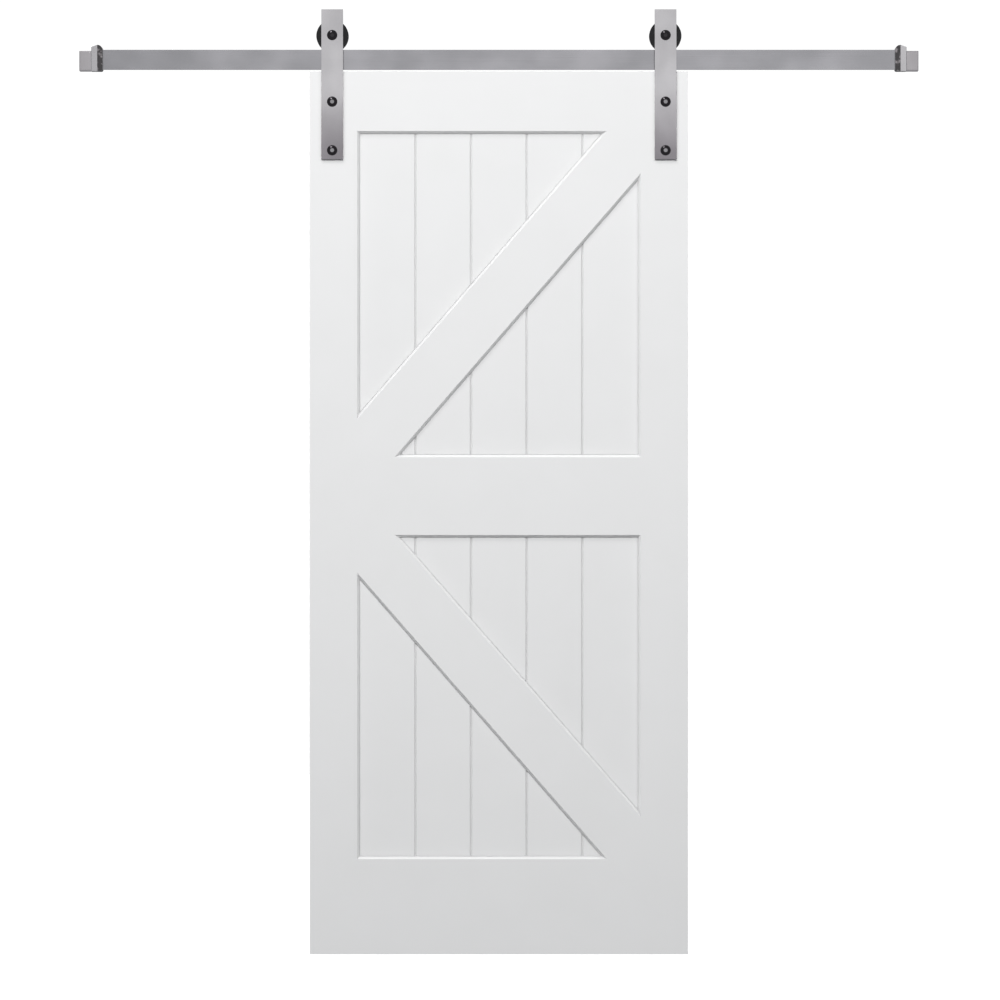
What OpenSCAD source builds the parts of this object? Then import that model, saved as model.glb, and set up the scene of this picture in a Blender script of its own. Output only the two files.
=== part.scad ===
// Sliding barn door: a braced door with V-grooved panels, on two hangers that roll along a flat rail.
// The origin lies on the wall plane, behind the middle of the rail. X runs along the rail,
// Y points into the wall and Z points up, so the front of the door faces -Y.

/* [Door] */
// Width of the door
door_w = 914.4; // [760:0.1:1100]
// Height of the door
door_h = 2133.6; // [1700:0.1:2600]
// Thickness of the door
door_t = 35; // [30:0.5:42]
// Width of each stile, its sloped edge included
stile_w = 120.6; // [90:0.1:140]
// Height of the top rail, its sloped edge included
top_rail_h = 149.7; // [115:0.1:200]
// Height of the lock rail across the middle
lock_rail_h = 200; // [120:1:240]
// Height of the bottom rail
bottom_rail_h = 236; // [120:1:300]
// How far the lock rail sits below the middle of the space between the other two rails
lock_rail_drop = 2.5; // [0:0.1:100]
// Width of each diagonal brace
brace_w = 140; // [90:1:160]
// How far each brace sits to the right of its opening's diagonal, square to it
brace_shift = 3.5; // [0:0.5:20]

/* [Panels] */
// Depth of a panel's face below the face of the frame
recess = 8; // [5:0.5:9]
// Width of the sloped edge that the frame has around each panel
bevel_w = 6; // [3:0.5:9]
// Height of the square step at the foot of that slope
bevel_step = 1; // [0.5:0.1:2]
// Width of the open crease between the frame and a panel's raised field
crease = 0.6; // [0.3:0.1:1.2]
// Thickness of the tongue around each panel
tongue_t = 9; // [6:0.5:10]
// Width of that tongue beyond the opening
tongue_w = 9; // [5:0.5:12]
// Number of planks that the V-grooves mark across the door
planks = 5; // [3:1:7]
// Width of a V-groove at the panel's face
groove_w = 6.5; // [4:0.5:9]
// Depth of a V-groove
groove_d = 3.2; // [1.5:0.1:4]
// Diameter of the dowels that join the rails to the stiles
dowel_d = 12; // [8:0.5:16]
// Length of a dowel
dowel_l = 80; // [60:1:90]
// Distance of a dowel from the near edge of its rail
dowel_inset = 38; // [30:1:45]

/* [Track] */
// Length of the rail
rail_l = 1971; // [1900:1:2440]
// Height of the rail
rail_h = 48; // [40:1:58]
// Thickness of the rail
rail_t = 8; // [6:0.5:10]
// Distance between neighbouring standoffs
standoff_pitch = 406.4; // [350:0.1:490]
// Diameter of a standoff
standoff_d = 25; // [22:0.5:32]
// Length of a standoff, from the wall to the rail
standoff_l = 35; // [30:0.5:45]
// Thickness of the standoff's floor, which the wall screw holds
standoff_floor = 8; // [5:0.5:10]
// Diameter of the wall screw's hole
wall_hole_d = 8.5; // [6:0.1:10]
// Diameter of the spigot on the back of the rail
spigot_d = 16; // [12:0.5:18]
// Length of the spigot behind the rail
spigot_l = 20; // [14:0.5:20]
// Diameter of the spigot's threaded stud
stud_d = 8; // [6:0.5:10]
// Depth of the stud in the rail
stud_l = 5.5; // [3:0.5:5.5]
// Diameter of the grub screw that holds a spigot
grub_d = 5; // [4:0.5:6]

/* [Stops] */
// Thickness of a stop's flange along the rail
stop_flange_t = 14.5; // [12:0.5:18]
// Thickness of a stop's cheeks in front of and behind the rail
stop_cheek = 8; // [7:0.5:9]
// Height of the flange and the bumper above the rail
stop_rise = 11; // [10:0.5:20]
// How far the flange and the bumper reach below the rail
stop_drop = 4; // [0:0.5:4]
// How far the flange's top edge falls towards the end block
flange_slope = 5; // [0:0.5:5]
// Length of the end block beyond the rail
end_block_l = 29; // [15:1:45]
// How far the end block sits below the rail's height
end_block_drop = 3.5; // [0:0.5:4]
// Width of the chamfer around the end block's front face
end_block_chamfer = 2; // [0.5:0.5:4]
// Thickness of the rubber bumper along the rail
bumper_t = 12.5; // [12:0.5:20]
// Radius of the bumper's upper edge
bumper_round = 12; // [3:0.5:12]
// Radius of the bumper's lower edge
bumper_low_round = 4; // [1:0.5:8]
// Diameter of the two pegs that hold the bumper in the flange
peg_d = 5; // [3:0.5:5]
// Length of those pegs
peg_l = 8; // [5:0.5:9]
// Height of their middles above the rail
peg_rise = 4; // [3:0.5:4]
// Diameter of the set screw in each stop
set_screw_d = 6; // [4:0.5:7]
// Length of the set screw
set_screw_l = 7; // [5:0.5:7]

/* [Hangers] */
// Distance from the door's side to the middle of a hanger
hanger_inset = 54.5; // [45:0.5:60]
// Width of a hanger strap
strap_w = 52.5; // [40:0.5:60]
// Thickness of a hanger strap
strap_t = 6; // [4:0.5:8]
// Height of the strap above its axle
strap_head = 62.5; // [45:0.5:75]
// Length of the strap below its lower bolt
strap_tail = 21.5; // [16:0.5:40]
// Distance from the door's top edge down to the upper bolt
upper_bolt_drop = 73.5; // [55:0.5:95]
// Distance from the door's top edge down to the lower bolt
lower_bolt_drop = 191; // [150:1:240]
// Diameter of the bolts through the door
bolt_d = 10; // [8:0.5:12]
// Diameter of a bolt's domed head
head_d = 25; // [20:0.5:32]
// Height of a bolt's domed head
head_h = 6.5; // [5:0.5:9]
// Height of the straight rim under the dome
head_rim = 1.6; // [1:0.1:2.5]
// Depth of a bolt's hexagon socket
socket_depth = 4.3; // [2:0.1:4.5]
// Width across the flats of a bolt's hexagon socket
socket_w = 9; // [6:0.5:12]
// Diameter of the washers behind the door
washer_d = 24; // [20:0.5:32]
// Thickness of those washers
washer_t = 2; // [1:0.5:3]
// Width across the flats of the nuts on the door's bolts
nut_w = 17; // [14:0.5:20]
// Height of those nuts
nut_h = 6; // [4:0.5:8]

/* [Wheels] */
// Diameter of a wheel over its flanges
wheel_d = 78; // [66:0.5:96]
// Width of a wheel
wheel_w = 20; // [16:0.5:26]
// Height of a wheel's flanges beside the rail
flange_h = 6; // [4:0.5:9]
// Width of the ring-shaped recess in each face of a wheel
web_w = 8; // [4:0.5:8]
// Depth of that recess
web_depth = 1.25; // [0.5:0.25:2]
// Width of the chamfer on a wheel's rims
rim_chamfer = 1.4; // [0.4:0.1:1.6]
// Space between a wheel and its strap
strap_gap = 5; // [3:0.5:9]
// Diameter of the axle
axle_d = 12; // [10:0.5:15]
// Outer diameter of the ball bearing
bearing_d = 32; // [28:0.5:38]
// Width of the ball bearing
bearing_w = 10; // [9:0.5:14]
// Diameter of a bearing ball
ball_d = 5.9; // [4.8:0.1:6]
// Number of balls in a bearing
balls = 8; // [6:1:8]
// Height of the axle's nut
axle_nut_h = 9; // [6:0.5:11]
// Width across the flats of the axle's nut
axle_nut_w = 18; // [16:0.5:22]

/* [Anti-jump discs] */
// Diameter of the disc on the door's top edge
disc_d = 29; // [22:0.5:32]
// Thickness of that disc
disc_t = 4; // [3:0.5:4.5]
// Diameter of the disc's screw
disc_screw_d = 5; // [4:0.5:6]
// Length of the disc's screw
disc_screw_l = 40; // [25:1:50]

/* [Clearances] */
// Space between the rail and the door's top edge
door_gap = 6; // [5:0.5:12]
// Space between a wheel's tread and the rail
rolling_gap = 0.25; // [0.1:0.05:0.5]
// Space on each side of the rail in a wheel's groove
groove_gap = 0.5; // [0.3:0.1:1]
// Space between a wheel and the nut behind it
nut_gap = 1; // [0.5:0.5:3]
// Radial clearance of the bolts in their holes
bolt_gap = 0.25; // [0.1:0.05:0.5]
// Radial clearance of pieces that are pressed, screwed or glued together
seat_gap = 0.05; // [0.02:0.01:0.1]
// Space around the rail in a stop, and around a tongue in its slot
slip_gap = 0.2; // [0.1:0.05:0.4]
// Space beyond a tongue's edge, which lets the panel swell
tongue_play = 1; // [0.5:0.1:2]

/* [Hidden] */
$fn = 64;

PAINT = [0.93, 0.93, 0.92];
RAIL_STEEL = [0.60, 0.59, 0.61];
STRAP_STEEL = [0.75, 0.74, 0.75];
DARK_STEEL = [0.24, 0.23, 0.24];
BRIGHT_STEEL = [0.80, 0.80, 0.82];
BLACK = [0.06, 0.06, 0.06];
TIMBER = [0.78, 0.66, 0.48];
LEFT = -1;
RIGHT = 1;
SIDES = [LEFT, RIGHT];
// Extra length that a cut runs past the face it opens
over = 1;

// Depths, counted from the wall plane
rail_back_y = -standoff_l;
track_y = rail_back_y - rail_t / 2;
strap_back_y = track_y - wheel_w / 2 - strap_gap;
strap_front_y = strap_back_y - strap_t;
door_front_y = strap_back_y;
door_back_y = door_front_y + door_t;
door_mid_y = door_front_y + door_t / 2;

// Heights, counted from the middle of the rail
rail_top_z = rail_h / 2;
tread_r = wheel_d / 2 - flange_h;
axle_z = rail_top_z + tread_r + rolling_gap;
door_top_z = -rail_top_z - door_gap;
door_bottom_z = door_top_z - door_h;
upper_bolt_z = door_top_z - upper_bolt_drop;
lower_bolt_z = door_top_z - lower_bolt_drop;
strap_top_z = axle_z + strap_head;
strap_bottom_z = lower_bolt_z - strap_tail;

// The two openings between the rails
opening_w = door_w - 2 * stile_w;
free_h = (door_h - top_rail_h - bottom_rail_h - lock_rail_h) / 2;
x_left = -opening_w / 2;
x_right = opening_w / 2;
upper_top_z = door_top_z - top_rail_h;
upper_bottom_z = upper_top_z - free_h - lock_rail_drop;
lower_top_z = upper_bottom_z - lock_rail_h;
lower_bottom_z = door_bottom_z + bottom_rail_h;

// The brace's share on each side of its opening's diagonal, and what it takes of a rail and a stile there
part_left = brace_w / 2 - brace_shift;
part_right = brace_w / 2 + brace_shift;
upper_h = upper_top_z - upper_bottom_z;
lower_h = lower_top_z - lower_bottom_z;
function on_rail(w, h) = w * norm([opening_w, h]) / h;
function on_stile(w, h) = w * norm([opening_w, h]) / opening_w;

// The triangle that one side of a brace leaves open, as [x, z] corners, from its corner of the opening
function corner_panel(x, z, w, h) = [
    [x, z],
    [x - sign(x) * (opening_w - on_rail(w, abs(h))), z],
    [x, z + h - sign(h) * on_stile(w, abs(h))]
];
tri_upper_left = corner_panel(x_left, upper_top_z, part_left, -upper_h);
tri_upper_right = corner_panel(x_right, upper_bottom_z, part_right, upper_h);
tri_lower_left = corner_panel(x_left, lower_bottom_z, part_left, lower_h);
tri_lower_right = corner_panel(x_right, lower_top_z, part_right, -lower_h);

panel_t = door_t - 2 * recess;
slot_t = tongue_t + 2 * slip_gap;
slot_w = tongue_w + tongue_play;
bevel_d = recess - bevel_step;

hanger_x = door_w / 2 - hanger_inset;
bearing_front_y = track_y - bearing_w / 2;
bearing_back_y = track_y + bearing_w / 2;
wheel_back_y = track_y + wheel_w / 2;
axle_nut_y = wheel_back_y + nut_gap;
pitch_r = (bearing_d + axle_d) / 4;
// Half the space between the inner ring's and the outer ring's lands
land = 2.3;
// Radial clearance of a ball in its raceway
race_gap = 0.05;
shield_t = 0.4;
hub_r = pitch_r - land - slip_gap;

stop_y = track_y - rail_t / 2 - slip_gap - stop_cheek;
stop_depth = rail_t + 2 * (slip_gap + stop_cheek);
end_block_x = rail_l / 2 + slip_gap;
flange_x = end_block_x - stop_flange_t;
stop_top_z = rail_top_z + stop_rise;
stop_bottom_z = -rail_top_z - stop_drop;
end_block_z = -rail_top_z - end_block_drop;
set_screw_x = end_block_x - stop_flange_t / 2;
peg_y = (rail_t + stop_cheek) / 2 + slip_gap;

disc_screw_head_h = 2.5;
grub_y = rail_back_y + spigot_l / 2;

// ---- Helpers ----

// Turns a shape whose axis is Z so that its +Z end faces the front
module facing(x, y, z) translate([x, y, z]) rotate([90, 0, 0]) children();

// Plate with its outline in X and Z, from depth y to the front by t
module plate(y, t) translate([0, y, 0]) rotate([90, 0, 0]) linear_extrude(t) children();

module tube(r_out, r_in, h) {
    difference() {
        cylinder(r = r_out, h = h);
        translate([0, 0, -over]) cylinder(r = r_in, h = h + 2 * over);
    }
}

// Straight hexagon of width w across its flats
module hexagon(w, h) cylinder(r = w / sqrt(3), h = h, $fn = 6);

// A triangle moved outwards by d on all three sides
function sides(t) = [norm(t[1] - t[2]), norm(t[2] - t[0]), norm(t[0] - t[1])];
function around(t) = sides(t)[0] + sides(t)[1] + sides(t)[2];
function incentre(t) = (sides(t)[0] * t[0] + sides(t)[1] * t[1] + sides(t)[2] * t[2]) / around(t);
function inradius(t) = abs(cross(t[1] - t[0], t[2] - t[0])) / around(t);
function grown(t, d) = [for (p = t) incentre(t) + (p - incentre(t)) * (1 + d / inradius(t))];

// Solid whose outline is the triangle grown by g0 at depth y0, and by g1 at depth y1
module taper(t, y0, g0, y1, g1) {
    hull() polyhedron(
        points = concat([for (p = grown(t, g0)) [p[0], y0, p[1]]], [for (p = grown(t, g1)) [p[0], y1, p[1]]]),
        faces = [[0, 1, 2], [3, 4, 5], [0, 1, 4, 3], [1, 2, 5, 4], [2, 0, 3, 5]]
    );
}

// What the frame loses around one panel: the slope on each face and the slot for the tongue
module panel_seat(t) {
    run = bevel_w * (bevel_d + over) / bevel_d;
    taper(t, door_front_y + bevel_d, 0, door_front_y - over, run);
    taper(t, door_back_y - bevel_d, 0, door_back_y + over, run);
    plate(door_mid_y + slot_t / 2, slot_t) polygon(grown(t, slot_w));
}

// ---- Track ----

module rail() {
    color(RAIL_STEEL) difference() {
        translate([-rail_l / 2, rail_back_y - rail_t, -rail_h / 2]) cube([rail_l, rail_t, rail_h]);
        for (i = [-2:2]) facing(i * standoff_pitch, rail_back_y + over, 0)
            cylinder(d = stud_d + 2 * seat_gap, h = stud_l + slip_gap + over);
    }
}

module standoff(i) {
    color(RAIL_STEEL) difference() {
        facing((i - 3) * standoff_pitch, 0, 0) difference() {
            cylinder(d = standoff_d, h = standoff_l);
            translate([0, 0, -over]) cylinder(d = wall_hole_d, h = standoff_l);
            translate([0, 0, standoff_floor]) cylinder(d = spigot_d + 2 * seat_gap, h = standoff_l);
        }
        translate([(i - 3) * standoff_pitch, grub_y, -standoff_d / 2 - over])
            cylinder(d = grub_d + 2 * seat_gap, h = standoff_d / 2);
    }
}

module rail_spigots() {
    color(BRIGHT_STEEL) for (i = [-2:2]) facing(i * standoff_pitch, rail_back_y + spigot_l, 0) {
        cylinder(d = spigot_d, h = spigot_l);
        cylinder(d = stud_d, h = spigot_l + stud_l);
    }
}

module spigot_grub_screws() {
    color(DARK_STEEL) for (i = [-2:2])
        translate([i * standoff_pitch, grub_y, -standoff_d / 2]) difference() {
            cylinder(d = grub_d, h = standoff_d / 2 - spigot_d / 2 - seat_gap);
            translate([0, 0, -over]) hexagon(grub_d / 2, grub_d / 2 + over);
        }
}

// Everything of a stop is drawn at the right end of the rail and mirrored to the left
module at_end(side) if (side == LEFT) mirror([1, 0, 0]) children(); else children();

module rail_slot() {
    translate([flange_x - bumper_t - over, stop_y + stop_cheek, stop_bottom_z - over])
        cube([
            stop_flange_t + bumper_t + over, rail_t + 2 * slip_gap,
            rail_top_z + slip_gap - stop_bottom_z + over
        ]);
}

// Block beyond the rail's end, seen from above and from its end, with its front edges chamfered
module end_block() {
    c = end_block_chamfer;
    x = end_block_x + end_block_l;
    y = stop_y + stop_depth;
    z = end_block_z + rail_h;
    intersection() {
        translate([0, 0, end_block_z]) linear_extrude(rail_h) polygon([
            [end_block_x, stop_y], [x - c, stop_y], [x, stop_y + c], [x, y], [end_block_x, y]
        ]);
        translate([end_block_x, 0, 0]) rotate([90, 0, 90]) linear_extrude(end_block_l) polygon([
            [stop_y + c, end_block_z], [y, end_block_z], [y, z],
            [stop_y + c, z], [stop_y, z - c], [stop_y, end_block_z + c]
        ]);
    }
}

module stop(side) {
    color(STRAP_STEEL) at_end(side) difference() {
        union() {
            plate(stop_y + stop_depth, stop_depth) polygon([
                [flange_x, stop_bottom_z], [end_block_x, stop_bottom_z],
                [end_block_x, stop_top_z - flange_slope], [flange_x, stop_top_z]
            ]);
            end_block();
        }
        rail_slot();
        translate([set_screw_x, track_y, rail_top_z])
            cylinder(d = set_screw_d + 2 * seat_gap, h = stop_rise + over);
        bumper_pegs(peg_d / 2 + seat_gap, slip_gap);
    }
}

module bumper_pegs(r, extra) {
    for (s = SIDES) translate([flange_x - extra, track_y + s * peg_y, rail_top_z + peg_rise])
        rotate([0, 90, 0]) cylinder(r = r, h = peg_l + 2 * extra);
}

module stop_set_screws() {
    color(DARK_STEEL) for (side = SIDES)
        translate([side * set_screw_x, track_y, rail_top_z + seat_gap]) difference() {
            cylinder(d = set_screw_d, h = set_screw_l);
            translate([0, 0, set_screw_l / 2]) hexagon(set_screw_d / 2, set_screw_l);
        }
}

module bumper_outline() {
    h = stop_top_z - stop_bottom_z;
    r = bumper_round;
    low_r = bumper_low_round;
    difference() {
        square([bumper_t, h]);
        translate([0, h - r]) difference() {
            translate([-over, 0]) square(r + over);
            translate([r, 0]) circle(r = r);
        }
        difference() {
            translate([-over, -over]) square(low_r + over);
            translate([low_r, low_r]) circle(r = low_r);
        }
    }
}

module bumper(side) {
    color(BLACK) at_end(side) union() {
        difference() {
            translate([flange_x - bumper_t, 0, stop_bottom_z])
                plate(stop_y + stop_depth, stop_depth) bumper_outline();
            rail_slot();
        }
        bumper_pegs(peg_d / 2, 0);
    }
}

// ---- Door ----

dowel_rows = [
    door_top_z - dowel_inset, upper_top_z + dowel_inset,
    upper_bottom_z - dowel_inset, lower_top_z + dowel_inset,
    lower_bottom_z - dowel_inset, door_bottom_z + dowel_inset
];

module dowels(side, r, extra) {
    for (z = dowel_rows) translate([side * opening_w / 2 - dowel_l / 2 - extra, door_mid_y, z])
        rotate([0, 90, 0]) cylinder(r = r, h = dowel_l + 2 * extra);
}

module dowel_holes(side) dowels(side, dowel_d / 2 + seat_gap, over);

module frame_dowels() {
    color(TIMBER) for (side = SIDES) dowels(side, dowel_d / 2, 0);
}

module bolt_holes(r) {
    for (side = SIDES, z = [upper_bolt_z, lower_bolt_z])
        facing(side * hanger_x, door_back_y + over, z) cylinder(r = r, h = door_t + strap_t + 2 * over);
}

module stile(side) {
    x = side == LEFT ? -door_w / 2 : door_w / 2 - stile_w;
    color(PAINT) difference() {
        translate([x, door_front_y, door_bottom_z]) cube([stile_w, door_t, door_h]);
        panel_seat(side == LEFT ? tri_upper_left : tri_upper_right);
        panel_seat(side == LEFT ? tri_lower_left : tri_lower_right);
        dowel_holes(side);
        bolt_holes(bolt_d / 2 + bolt_gap);
        translate([side * hanger_x, track_y, door_top_z - disc_screw_l])
            cylinder(d = disc_screw_d + 2 * seat_gap, h = disc_screw_l + over);
    }
}

module cross_rail(z, h) {
    color(PAINT) difference() {
        translate([x_left, door_front_y, z]) cube([opening_w, door_t, h]);
        for (side = SIDES) dowel_holes(side);
        children();
    }
}

module top_rail() cross_rail(upper_top_z, top_rail_h) panel_seat(tri_upper_left);

module lock_rail() cross_rail(lower_top_z, lock_rail_h) {
    panel_seat(tri_upper_right);
    panel_seat(tri_lower_right);
}

module bottom_rail() cross_rail(door_bottom_z, bottom_rail_h) panel_seat(tri_lower_left);

// A brace fills what two triangles leave of their opening
module brace(t, u, z_low, z_high) {
    color(PAINT) difference() {
        plate(door_back_y, door_t) difference() {
            translate([x_left, z_low]) square([opening_w, z_high - z_low]);
            polygon(grown(t, 0));
            polygon(grown(u, 0));
        }
        panel_seat(t);
        panel_seat(u);
    }
}

module brace_upper() brace(tri_upper_left, tri_upper_right, upper_bottom_z, upper_top_z);
module brace_lower() brace(tri_lower_left, tri_lower_right, lower_bottom_z, lower_top_z);

module panel(t) {
    color(PAINT) difference() {
        union() {
            plate(door_mid_y + panel_t / 2, panel_t) polygon(grown(t, -crease));
            plate(door_mid_y + tongue_t / 2, tongue_t) polygon(grown(t, tongue_w));
        }
        for (i = [1:planks - 1], face = [-1, 1])
            translate([x_left + i * opening_w / planks, door_mid_y + face * panel_t / 2, door_bottom_z])
                linear_extrude(door_h) polygon([
                    [-groove_w / 2, 0], [-groove_w / 2, face * over], [groove_w / 2, face * over],
                    [groove_w / 2, 0], [0, -face * groove_d]
                ]);
    }
}

// ---- Hangers ----

module strap(side) {
    color(STRAP_STEEL) difference() {
        translate([side * hanger_x - strap_w / 2, strap_front_y, strap_bottom_z])
            cube([strap_w, strap_t, strap_top_z - strap_bottom_z]);
        bolt_holes(bolt_d / 2 + bolt_gap);
        facing(side * hanger_x, strap_back_y + over, axle_z)
            cylinder(d = axle_d + 2 * bolt_gap, h = strap_t + 2 * over);
    }
}

// Domed head with a hexagon socket, and a plain shank of length l behind it
module domed_bolt(d, l) {
    dome_h = head_h - head_rim;
    dome_r = (pow(head_d / 2, 2) + pow(dome_h, 2)) / (2 * dome_h);
    difference() {
        rotate_extrude() {
            intersection() {
                square([head_d / 2, head_h]);
                translate([0, head_h - dome_r]) circle(r = dome_r, $fn = 180);
            }
            translate([0, -l]) square([d / 2, l + over]);
        }
        translate([0, 0, head_h - socket_depth]) hexagon(socket_w, head_h);
    }
}

// Hexagon nut with its corners turned off at both ends
module nut(w, d, h) {
    corner = w / sqrt(3) - w / 2;
    difference() {
        intersection() {
            hexagon(w, h);
            union() {
                cylinder(r1 = w / 2, r2 = w / 2 + corner, h = corner / 2);
                translate([0, 0, corner / 2]) cylinder(r = w / 2 + corner, h = h - corner);
                translate([0, 0, h - corner / 2]) cylinder(r1 = w / 2 + corner, r2 = w / 2, h = corner / 2);
            }
        }
        translate([0, 0, -over]) cylinder(r = d / 2 + seat_gap, h = h + 2 * over);
    }
}

module at_bolts(y) {
    for (side = SIDES, z = [upper_bolt_z, lower_bolt_z]) facing(side * hanger_x, y, z) children();
}

// How far a bolt's end stands out of its nut
thread_end = 1.5;

module strap_bolts() {
    color(DARK_STEEL) at_bolts(strap_front_y)
        domed_bolt(bolt_d, strap_t + door_t + washer_t + nut_h + thread_end);
}

module strap_washers() {
    color(BRIGHT_STEEL) at_bolts(door_back_y + washer_t) tube(washer_d / 2, bolt_d / 2 + bolt_gap, washer_t);
}

module strap_nuts() {
    color(BRIGHT_STEEL) at_bolts(door_back_y + washer_t + nut_h) nut(nut_w, bolt_d, nut_h);
}

module axle(side) {
    color(DARK_STEEL) facing(side * hanger_x, strap_front_y, axle_z)
        domed_bolt(axle_d, axle_nut_y + axle_nut_h + thread_end - strap_front_y);
}

module spacer(side, y_front, y_back) {
    color(BRIGHT_STEEL) facing(side * hanger_x, y_back, axle_z)
        tube(hub_r, axle_d / 2 + seat_gap, y_back - y_front);
}

module front_spacer(side) spacer(side, strap_back_y, bearing_front_y);
module rear_spacer(side) spacer(side, bearing_back_y, axle_nut_y);

module axle_nut(side) {
    color(BRIGHT_STEEL) facing(side * hanger_x, axle_nut_y + axle_nut_h, axle_z)
        nut(axle_nut_w, axle_d, axle_nut_h);
}

module anti_jump_disc(side) {
    color(BRIGHT_STEEL) translate([side * hanger_x, track_y, door_top_z]) difference() {
        cylinder(d = disc_d, h = disc_t);
        translate([0, 0, -over]) cylinder(d = disc_screw_d + 2 * seat_gap, h = disc_t + 2 * over);
        translate([0, 0, disc_t - disc_screw_head_h])
            cylinder(r1 = disc_screw_d / 2 + seat_gap, r2 = disc_screw_d + seat_gap, h = disc_screw_head_h);
    }
}

module disc_screws() {
    color(BRIGHT_STEEL) for (side = SIDES)
        translate([side * hanger_x, track_y, door_top_z + disc_t]) difference() {
            union() {
                translate([0, 0, -disc_screw_l]) cylinder(d = disc_screw_d, h = disc_screw_l);
                translate([0, 0, -disc_screw_head_h])
                    cylinder(r1 = disc_screw_d / 2, r2 = disc_screw_d, h = disc_screw_head_h);
            }
            translate([0, 0, -disc_screw_head_h / 2]) hexagon(disc_screw_d / 2, disc_screw_head_h);
        }
}

// ---- Wheels ----

module at_wheel(side) facing(side * hanger_x, track_y, axle_z) children();

// Half-section of a wheel: grooved rim, thinner web, and a hub that takes the bearing from behind
module wheel_section() {
    half = wheel_w / 2;
    groove = rail_t / 2 + groove_gap;
    rim = wheel_d / 2;
    web_r = (bearing_d / 2 + tread_r) / 2;
    lip_r = (bearing_d / 2 + pitch_r) / 2;
    difference() {
        union() {
            translate([bearing_d / 2 + seat_gap, -half]) square([rim - bearing_d / 2 - seat_gap, wheel_w]);
            translate([lip_r, bearing_w / 2 + seat_gap])
                square([bearing_d / 2, half - bearing_w / 2 - seat_gap]);
        }
        polygon([
            [tread_r, -groove], [rim + over, -groove - over], [rim + over, groove + over], [tread_r, groove]
        ]);
        for (s = SIDES) {
            translate([web_r, s * half]) square([web_w, 2 * web_depth], center = true);
            translate([rim, s * half]) rotate(45) square(rim_chamfer * sqrt(2), center = true);
        }
    }
}

module wheel(side) {
    color(BLACK) at_wheel(side) rotate_extrude($fn = 120) wheel_section();
}

module raceway() translate([pitch_r, 0]) circle(r = ball_d / 2 + race_gap);

module bearing_inner(side) {
    bore_r = axle_d / 2 + seat_gap;
    color(BRIGHT_STEEL) at_wheel(side) rotate_extrude() difference() {
        translate([bore_r, -bearing_w / 2]) square([pitch_r - land - bore_r, bearing_w]);
        raceway();
    }
}

module bearing_outer(side) {
    color(BRIGHT_STEEL) at_wheel(side) rotate_extrude() difference() {
        translate([pitch_r + land, -bearing_w / 2]) square([bearing_d / 2 - pitch_r - land, bearing_w]);
        raceway();
    }
}

module at_balls() for (i = [0:balls - 1]) rotate(i * 360 / balls) translate([pitch_r, 0, 0]) children();

module bearing_balls(side) {
    color(BRIGHT_STEEL) at_wheel(side) at_balls() sphere(d = ball_d);
}

// Crown ring that keeps the balls apart
module bearing_cage(side) {
    web = 0.8;
    color(BLACK) at_wheel(side) difference() {
        translate([0, 0, -ball_d / 3]) tube(pitch_r + web, pitch_r - web, ball_d / 3 + ball_d / 2 + web);
        at_balls() sphere(r = ball_d / 2 + slip_gap);
    }
}

module bearing_shields(side) {
    z = bearing_w / 2 - seat_gap;
    color(BRIGHT_STEEL) at_wheel(side) for (low = [-z, z - shield_t])
        translate([0, 0, low]) tube(pitch_r + land - seat_gap, pitch_r - land + slip_gap, shield_t);
}

rail();
for (i = [1:5]) standoff(i);
rail_spigots();
spigot_grub_screws();
stop(LEFT);  // stop_left
stop(RIGHT);  // stop_right
stop_set_screws();
bumper(LEFT);  // bumper_left
bumper(RIGHT);  // bumper_right
stile(LEFT);  // stile_left
stile(RIGHT);  // stile_right
top_rail();
lock_rail();
bottom_rail();
brace_upper();
brace_lower();
panel(tri_upper_left);  // panel_upper_left
panel(tri_upper_right);  // panel_upper_right
panel(tri_lower_left);  // panel_lower_left
panel(tri_lower_right);  // panel_lower_right
frame_dowels();
strap(LEFT);  // strap_left
strap(RIGHT);  // strap_right
strap_bolts();
strap_washers();
strap_nuts();
axle(LEFT);  // axle_left
axle(RIGHT);  // axle_right
front_spacer(LEFT);  // front_spacer_left
front_spacer(RIGHT);  // front_spacer_right
rear_spacer(LEFT);  // rear_spacer_left
rear_spacer(RIGHT);  // rear_spacer_right
axle_nut(LEFT);  // axle_nut_left
axle_nut(RIGHT);  // axle_nut_right
bearing_inner(LEFT);  // bearing_inner_left
bearing_inner(RIGHT);  // bearing_inner_right
anti_jump_disc(LEFT);  // anti_jump_disc_left
anti_jump_disc(RIGHT);  // anti_jump_disc_right
disc_screws();
wheel(LEFT);  // wheel_left
wheel(RIGHT);  // wheel_right
bearing_outer(LEFT);  // bearing_outer_left
bearing_outer(RIGHT);  // bearing_outer_right
bearing_balls(LEFT);  // bearing_balls_left
bearing_balls(RIGHT);  // bearing_balls_right
bearing_cage(LEFT);  // bearing_cage_left
bearing_cage(RIGHT);  // bearing_cage_right
bearing_shields(LEFT);  // bearing_shields_left
bearing_shields(RIGHT);  // bearing_shields_right
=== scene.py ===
import math

import bpy
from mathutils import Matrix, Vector


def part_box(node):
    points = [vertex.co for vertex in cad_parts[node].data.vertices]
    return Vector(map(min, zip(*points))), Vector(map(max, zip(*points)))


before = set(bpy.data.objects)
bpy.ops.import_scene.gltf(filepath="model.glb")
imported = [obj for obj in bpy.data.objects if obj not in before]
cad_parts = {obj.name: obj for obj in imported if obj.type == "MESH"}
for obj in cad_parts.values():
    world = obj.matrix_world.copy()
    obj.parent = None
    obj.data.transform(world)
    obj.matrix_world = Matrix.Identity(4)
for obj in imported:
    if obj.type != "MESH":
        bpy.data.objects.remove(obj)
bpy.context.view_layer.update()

# ---- Places and sizes, in metres ----

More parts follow.
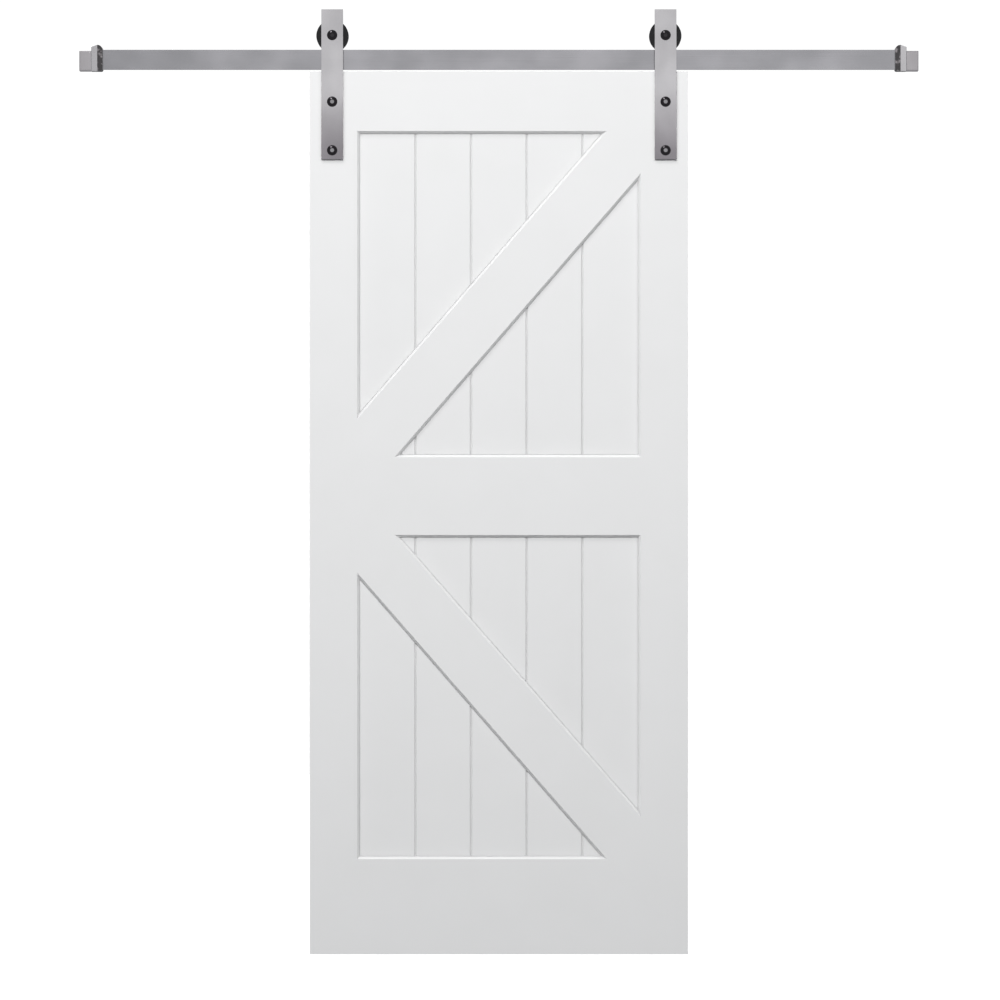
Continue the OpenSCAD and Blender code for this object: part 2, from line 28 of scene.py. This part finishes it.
DOOR_NODES = ("stile_left", "stile_right", "top_rail", "lock_rail", "bottom_rail")
door_low = Vector(map(min, *(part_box(n)[0] for n in DOOR_NODES)))
door_high = Vector(map(max, *(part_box(n)[1] for n in DOOR_NODES)))
door_middle = (door_low + door_high) / 2

strap_low, strap_high = map(Vector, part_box("strap_right"))
bolts_low, bolts_high = map(Vector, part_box("strap_bolts"))
bolt_x = (strap_low.x + strap_high.x) / 2
head_radius = bolts_high.x - bolt_x
bolt_heights = (bolts_high.z - head_radius, bolts_low.z + head_radius)

# The painted reflection over a door bolt's hexagon socket reaches this far from the bolt's axis
SOCKET_REACH = 0.0052
SOCKET_CORE = SOCKET_REACH * 0.92

# Height from which painted shade darkens the straps towards their lower ends
SHADE_FROM = -0.06

# Each stop's solid block begins this far out, past its flange, and a shallow step parts the two
END_BLOCK_LENGTH = 0.029
block_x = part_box("stop_right")[1][0] - END_BLOCK_LENGTH
STEP_HALF_WIDTH = 0.0006
STEP_DEPTH = 0.0010

# Corners and grooves this deep get painted shade, darkened as if in shadow
CREASE_SHADE_REACH = 0.012

# Radius that wear, tumbling or paint gives an edge, by the look of the node
EDGE_RADIUS = {"rail_steel_look": 0.0006, "strap_steel_look": 0.0008, "bumper_rubber_look": 0.0006}
EDGE_SEGMENTS = 3
EDGE_ANGLE = math.radians(40)
FLAT_ANGLE = math.radians(0.5)
WELD_REACH = 0.00001

# The picture is this wide at the door's face, and its middle lies this far from the door's
PICTURE_WIDTH = 2.417
PICTURE_OFFSET = Vector((0.0027, 0, 0.0312))
CAMERA_DISTANCE = 9.0
SENSOR_WIDTH_MM = 36
FLOOR_GAP = 0.012
FLOOR_SIZE = 12


# ---- Node helpers ----


class Tree:
    """A node tree, with short calls that add nodes and link them."""

    def __init__(self, owner):
        owner.use_nodes = True
        self.nodes = owner.node_tree.nodes
        self.links = owner.node_tree.links
        self.nodes.clear()

    def add(self, kind, **settings):
        node = self.nodes.new(kind)
        for key, value in settings.items():
            setattr(node, key, value)
        return node

    def feed(self, socket, value):
        """Links another node's output to the socket, or sets a number or a colour there."""
        if isinstance(value, bpy.types.NodeSocket):
            self.links.new(value, socket)
        elif isinstance(value, tuple):
            socket.default_value = (*value, 1)
        else:
            socket.default_value = value

    def math(self, operation, *values):
        node = self.add("ShaderNodeMath", operation=operation)
        for socket, value in zip(node.inputs, values):
            self.feed(socket, value)
        return node.outputs["Value"]


class Look(Tree):
    """A material. Its patterns lie in the object's own space, so they move with the object."""

    # Places of a Mix node's colour sockets among all its sockets
    MIX_FACTOR, MIX_FIRST, MIX_LAST = 0, 6, 7
    MIX_RESULT = 2

    def __init__(self, name):
        self.material = bpy.data.materials.new(name + "_look")
        super().__init__(self.material)
        self.shader = self.add("ShaderNodeBsdfPrincipled")
        output = self.add("ShaderNodeOutputMaterial")
        self.feed(output.inputs["Surface"], self.shader.outputs["BSDF"])
        self.place = self.add("ShaderNodeTexCoord").outputs["Object"]

    def set(self, **values):
        """Sets the shader's own sockets, named with _ for each space."""
        for key, value in values.items():
            self.feed(self.shader.inputs[key.replace("_", " ")], value)

    def axis(self, name):
        """Position in the object along X, Y or Z."""
        node = self.add("ShaderNodeSeparateXYZ")
        self.feed(node.inputs[0], self.place)
        return node.outputs[name]

    def noise(self, scale, detail=3.0, roughness=0.5):
        """Noise with scale waves a metre, or one number of waves for each of X, Y and Z."""
        stretch = self.add("ShaderNodeMapping")
        stretch.inputs["Scale"].default_value = scale if isinstance(scale, tuple) else (scale,) * 3
        self.feed(stretch.inputs["Vector"], self.place)
        node = self.add("ShaderNodeTexNoise")
        node.inputs["Scale"].default_value = 1.0
        node.inputs["Detail"].default_value = detail
        node.inputs["Roughness"].default_value = roughness
        self.feed(node.inputs["Vector"], stretch.outputs["Vector"])
        return node.outputs["Fac"]

    def span(self, value, low, high, start=0.3, end=0.7):
        """Maps value from start..end to low..high."""
        node = self.add("ShaderNodeMapRange", interpolation_type="SMOOTHSTEP")
        node.inputs["From Min"].default_value = start
        node.inputs["From Max"].default_value = end
        node.inputs["To Min"].default_value = low
        node.inputs["To Max"].default_value = high
        self.feed(node.inputs["Value"], value)
        return node.outputs["Result"]

    def mix(self, factor, first, last, blend_type="MIX"):
        """Colour that goes from first to last as factor goes from 0 to 1."""
        node = self.add("ShaderNodeMix", data_type="RGBA", blend_type=blend_type)
        self.feed(node.inputs[self.MIX_FACTOR], factor)
        self.feed(node.inputs[self.MIX_FIRST], first)
        self.feed(node.inputs[self.MIX_LAST], last)
        return node.outputs[self.MIX_RESULT]

    def multiply(self, first, second):
        return self.mix(1.0, first, second, "MULTIPLY")

    def creases(self, reach, shut_in=0.55, open_air=0.95):
        """0 on open faces, rising to 1 in corners and grooves narrower than reach."""
        node = self.add("ShaderNodeAmbientOcclusion", samples=6)
        node.inputs["Distance"].default_value = reach
        return self.span(node.outputs["AO"], 1.0, 0.0, shut_in, open_air)

    def bump(self, height, distance, strength=1.0, over=None):
        """Relief of that height in metres, laid over the bumped normal over."""
        node = self.add("ShaderNodeBump")
        node.inputs["Distance"].default_value = distance
        node.inputs["Strength"].default_value = strength
        self.feed(node.inputs["Height"], height)
        if over:
            self.feed(node.inputs["Normal"], over)
        return node.outputs["Normal"]

    def finish(self, colour, roughness, normal=None):
        self.set(Base_Color=colour, Roughness=roughness)
        if normal:
            self.set(Normal=normal)
        return self.material


# ---- Materials ----


def door_paint():
    """Satin white sprayed on smooth board: faint orange peel, patches of sheen, painted shade
    darkening the creases.
    """
    m = Look("door_paint")
    m.set(IOR=1.46)
    tone = m.mix(m.noise(9), (0.855, 0.855, 0.852), (0.885, 0.885, 0.885))
    # Painted shade: darker in corners, grooves and under overhanging edges, where shadow falls
    tone = m.mix(m.creases(CREASE_SHADE_REACH), tone, (0.72, 0.72, 0.72))
    sheen = m.span(m.noise(26), 0.36, 0.46)
    peel = m.bump(m.noise(520, detail=2), distance=0.00012, strength=0.5)
    return m.finish(tone, sheen, peel)


def dowel_wood():
    """Pale beech with its grain along the dowel."""
    m = Look("dowel_wood")
    grain = m.noise((18, 420, 420), detail=6)
    tone = m.mix(m.span(grain, 0, 1), (0.50, 0.33, 0.17), (0.68, 0.50, 0.30))
    return m.finish(tone, m.span(grain, 0.5, 0.65), m.bump(grain, distance=0.0001))


def brushed(name, dark, light, grain, patches):
    """Metal with fine brush lines along one axis and softer patches across them."""
    m = Look(name)
    m.set(Metallic=1.0)
    lines = m.noise(grain, detail=5, roughness=0.65)
    cloud = m.noise(patches, detail=2)
    mottle = m.math("ADD", m.math("MULTIPLY", lines, 0.35), m.math("MULTIPLY", cloud, 0.65))
    tone = m.mix(m.span(mottle, 0, 1), dark, light)
    return m, tone, m.span(lines, 0.17, 0.24), m.bump(lines, distance=0.000008, strength=0.5)


def rail_steel():
    m, tone, grit, relief = brushed(
        "rail_steel", dark=(0.38, 0.375, 0.39), light=(0.52, 0.51, 0.53),
        grain=(5, 1500, 1500), patches=(7, 2, 9),
    )
    return m.finish(tone, grit, relief)


def strap_steel():
    """Brushed along the strap, with painted shade darkening it towards its lower end; the stops'
    blocks are blasted matt.
    """
    m, tone, grit, relief = brushed(
        "strap_steel", dark=(0.61, 0.605, 0.61), light=(0.75, 0.745, 0.75),
        grain=(1500, 1500, 9), patches=(12, 2, 10),
    )
    # Painted shade: the strap turns darker towards its lower end
    painted_shade = m.span(m.axis("Z"), 0.0, 1.0, SHADE_FROM, strap_low.z)
    tone = m.multiply(tone, m.mix(painted_shade, (1, 1, 1), (0.52, 0.50, 0.52)))
    outward = m.math("ABSOLUTE", m.axis("X"))
    block = m.span(outward, 0.0, 1.0, block_x - STEP_HALF_WIDTH, block_x + STEP_HALF_WIDTH)
    tone = m.multiply(tone, m.mix(block, (0.94, 0.92, 0.93), (1.0, 0.96, 0.97)))
    grit = m.math("ADD", grit, m.math("MULTIPLY", block, 0.22))
    return m.finish(tone, grit, m.bump(block, distance=-STEP_DEPTH, over=relief))


def socket_reflection_spots(m):
    """Mask of the painted reflection: 1 over the door bolts' sockets and 0 elsewhere."""
    across = m.math("SUBTRACT", m.math("ABSOLUTE", m.axis("X")), bolt_x)
    spots = []
    for z in bolt_heights:
        along = m.math("SUBTRACT", m.axis("Z"), z)
        squares = [m.math("MULTIPLY", side, side) for side in (across, along)]
        reach = m.math("SQRT", m.math("ADD", *squares))
        spots.append(m.span(reach, 1.0, 0.0, SOCKET_CORE, SOCKET_REACH))
    return m.math("MAXIMUM", *spots)


def dark_steel():
    """Black oxide under a thin film of oil, with a painted reflection, a lighter patch, over the door
    bolts' sockets.
    """
    m = Look("dark_steel")
    m.set(Metallic=1.0, Coat_Weight=0.2, Coat_Roughness=0.08)
    fine = m.noise(900, detail=3)
    tone = m.mix(fine, (0.030, 0.027, 0.030), (0.055, 0.050, 0.055))
    # Painted reflection: a lighter patch over each door bolt's socket
    tone = m.mix(socket_reflection_spots(m), tone, (0.34, 0.33, 0.34))
    return m.finish(tone, m.span(fine, 0.16, 0.26), m.bump(fine, distance=0.00001, strength=0.4))


def fastener_steel():
    """Turned and lightly polished stainless steel."""
    m = Look("fastener_steel")
    m.set(Metallic=1.0)
    fine = m.noise(1400, detail=4)
    tone = m.mix(m.noise(60), (0.60, 0.60, 0.61), (0.74, 0.74, 0.75))
    return m.finish(tone, m.span(fine, 0.24, 0.34), m.bump(fine, distance=0.00003, strength=0.4))


def bearing_steel():
    """Ground and polished ring and ball steel."""
    m = Look("bearing_steel")
    m.set(Metallic=1.0)
    fine = m.noise(2000, detail=2)
    tone = m.mix(fine, (0.70, 0.70, 0.71), (0.80, 0.80, 0.81))
    return m.finish(tone, m.span(fine, 0.12, 0.18))


def moulded(name, dark, light, grain, roughness):
    """Moulded nylon: a near-even colour with fine texture."""
    m = Look(name)
    m.set(IOR=1.42)
    fine = m.noise(grain, detail=3)
    tone = m.mix(m.noise(40), dark, light)
    gloss = m.span(fine, roughness - 0.05, roughness + 0.05)
    return m.finish(tone, gloss, m.bump(fine, distance=0.00005, strength=0.4))


def wheel_nylon():
    return moulded(
        "wheel_nylon", dark=(0.002, 0.002, 0.003), light=(0.005, 0.005, 0.006),
        grain=700, roughness=0.22,
    )


def cage_nylon():
    return moulded(
        "cage_nylon", dark=(0.030, 0.030, 0.030), light=(0.045, 0.045, 0.045),
        grain=900, roughness=0.45,
    )


def bumper_rubber():
    """Black rubber with painted highlights in pale patches."""
    m = Look("bumper_rubber")
    m.set(IOR=1.45, Coat_Weight=0.25, Coat_Roughness=0.15)
    fine = m.noise(800, detail=3)
    tone = m.mix(m.noise(40), (0.030, 0.028, 0.029), (0.050, 0.046, 0.048))
    # Painted highlights: pale patches that stand in for gloss on the rubber
    painted_highlights = m.span(m.noise(75), 0.0, 1.0, 0.52, 0.66)
    tone = m.mix(painted_highlights, tone, (0.26, 0.24, 0.25))
    return m.finish(tone, m.span(fine, 0.25, 0.35), m.bump(fine, distance=0.00005, strength=0.4))


# Each function carries the name of the CAD material slot that it dresses
LOOKS = (
    door_paint, dowel_wood, rail_steel, strap_steel, dark_steel,
    fastener_steel, bearing_steel, wheel_nylon, cage_nylon, bumper_rubber,
)


def dress_nodes():
    """Gives each CAD node the look of the material slot that it carries."""
    looks = {make.__name__: make() for make in LOOKS}
    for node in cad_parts.values():
        for slot in node.material_slots:
            slot.material = looks[slot.material.name]


# ---- Edges ----


def ease_edges():
    """Rounds the sharp edges of plates and mouldings, leaving flat faces flat."""
    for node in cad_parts.values():
        radius = EDGE_RADIUS.get(node.material_slots[0].material.name)
        if not radius:
            continue
        node.modifiers.new("weld", "WELD").merge_threshold = WELD_REACH
        flat = node.modifiers.new("flat", "DECIMATE")
        flat.decimate_type = "DISSOLVE"
        flat.angle_limit = FLAT_ANGLE
        edge = node.modifiers.new("edge", "BEVEL")
        edge.limit_method = "ANGLE"
        edge.angle_limit = EDGE_ANGLE
        edge.width = radius
        edge.segments = EDGE_SEGMENTS
        edge.use_clamp_overlap = True
        node.modifiers.new("shade", "WEIGHTED_NORMAL").keep_sharp = False


# ---- Stage ----


def floor():
    """Pale floor that the camera sees, kept out of the object's light and reflections."""
    bpy.ops.mesh.primitive_plane_add(size=FLOOR_SIZE, location=(0, 0, door_low.z - FLOOR_GAP))
    plane = bpy.context.object
    plane.name = "floor"
    m = Look("floor")
    m.set(Emission_Color=(1, 1, 1), Emission_Strength=0.92)
    plane.data.materials.append(m.finish((0.35, 0.35, 0.35), 0.9))
    plane.visible_diffuse = False
    plane.visible_glossy = False


def softbox(name, place, size, power):
    """Square area light of that width, aimed at the middle of the door."""
    data = bpy.data.lights.new(name, "AREA")
    data.size = size
    data.energy = power
    lamp = bpy.data.objects.new(name, data)
    lamp.location = door_middle + Vector(place)
    lamp.rotation_mode = "QUATERNION"
    lamp.rotation_quaternion = (-Vector(place)).to_track_quat("-Z", "Y")
    bpy.context.scene.collection.objects.link(lamp)
    return lamp


def studio():
    """Soft light from high in front, more from the upper left, and a light for the back."""
    key = softbox("key", place=(-0.4, -6.5, 4.0), size=2.5, power=402)
    key.visible_glossy = False
    softbox("high", place=(-2.6, -4.2, 8.0), size=1.5, power=205)
    back_key = softbox("back_key", place=(2.2, 5.4, 3.4), size=2.4, power=350)
    back_key.visible_glossy = False
    # Only gloss sees the glow, so that the metals and the paint's sheen have something to mirror
    glow = softbox("glow", place=(0.4, -7.0, 0.6), size=4.5, power=29)
    glow.visible_diffuse = False


# Brightness of the room as it lights the object, as gloss mirrors it, and as the camera sees it
ROOM_LIGHT = 0.21
ROOM_GLOSS = 0.40
ROOM_WHITE = 1.05


def backdrop():
    """White behind the object, and a dimmer room for its light and reflections."""
    world = bpy.data.worlds.new("studio")
    tree = Tree(world)
    path = tree.add("ShaderNodeLightPath")
    room = tree.add("ShaderNodeBackground")
    room.inputs["Color"].default_value = (0.95, 0.97, 1.0, 1)
    strength = tree.math(
        "MULTIPLY_ADD", path.outputs["Is Glossy Ray"], ROOM_GLOSS - ROOM_LIGHT, ROOM_LIGHT
    )
    tree.feed(room.inputs["Strength"], strength)
    white = tree.add("ShaderNodeBackground")
    white.inputs["Color"].default_value = (1, 1, 1, 1)
    white.inputs["Strength"].default_value = ROOM_WHITE
    mix = tree.add("ShaderNodeMixShader")
    sources = (path.outputs["Is Camera Ray"], room.outputs["Background"], white.outputs["Background"])
    for socket, source in zip(mix.inputs, sources):
        tree.feed(socket, source)
    output = tree.add("ShaderNodeOutputWorld")
    tree.feed(output.inputs["Surface"], mix.outputs["Shader"])
    bpy.context.scene.world = world


def camera():
    """Long lens square to the door's face, a little above its middle."""
    data = bpy.data.cameras.new("camera")
    data.sensor_width = SENSOR_WIDTH_MM
    data.lens = SENSOR_WIDTH_MM * CAMERA_DISTANCE / PICTURE_WIDTH
    eye = bpy.data.objects.new("camera", data)
    face = Vector((door_middle.x, door_low.y, door_middle.z))
    eye.location = face + PICTURE_OFFSET - Vector((0, CAMERA_DISTANCE, 0))
    eye.rotation_euler = (math.radians(90), 0, 0)
    bpy.context.scene.collection.objects.link(eye)
    bpy.context.scene.camera = eye


camera()
dress_nodes()
ease_edges()
floor()
studio()
backdrop()
bpy.context.scene.view_settings.view_transform = "Standard"
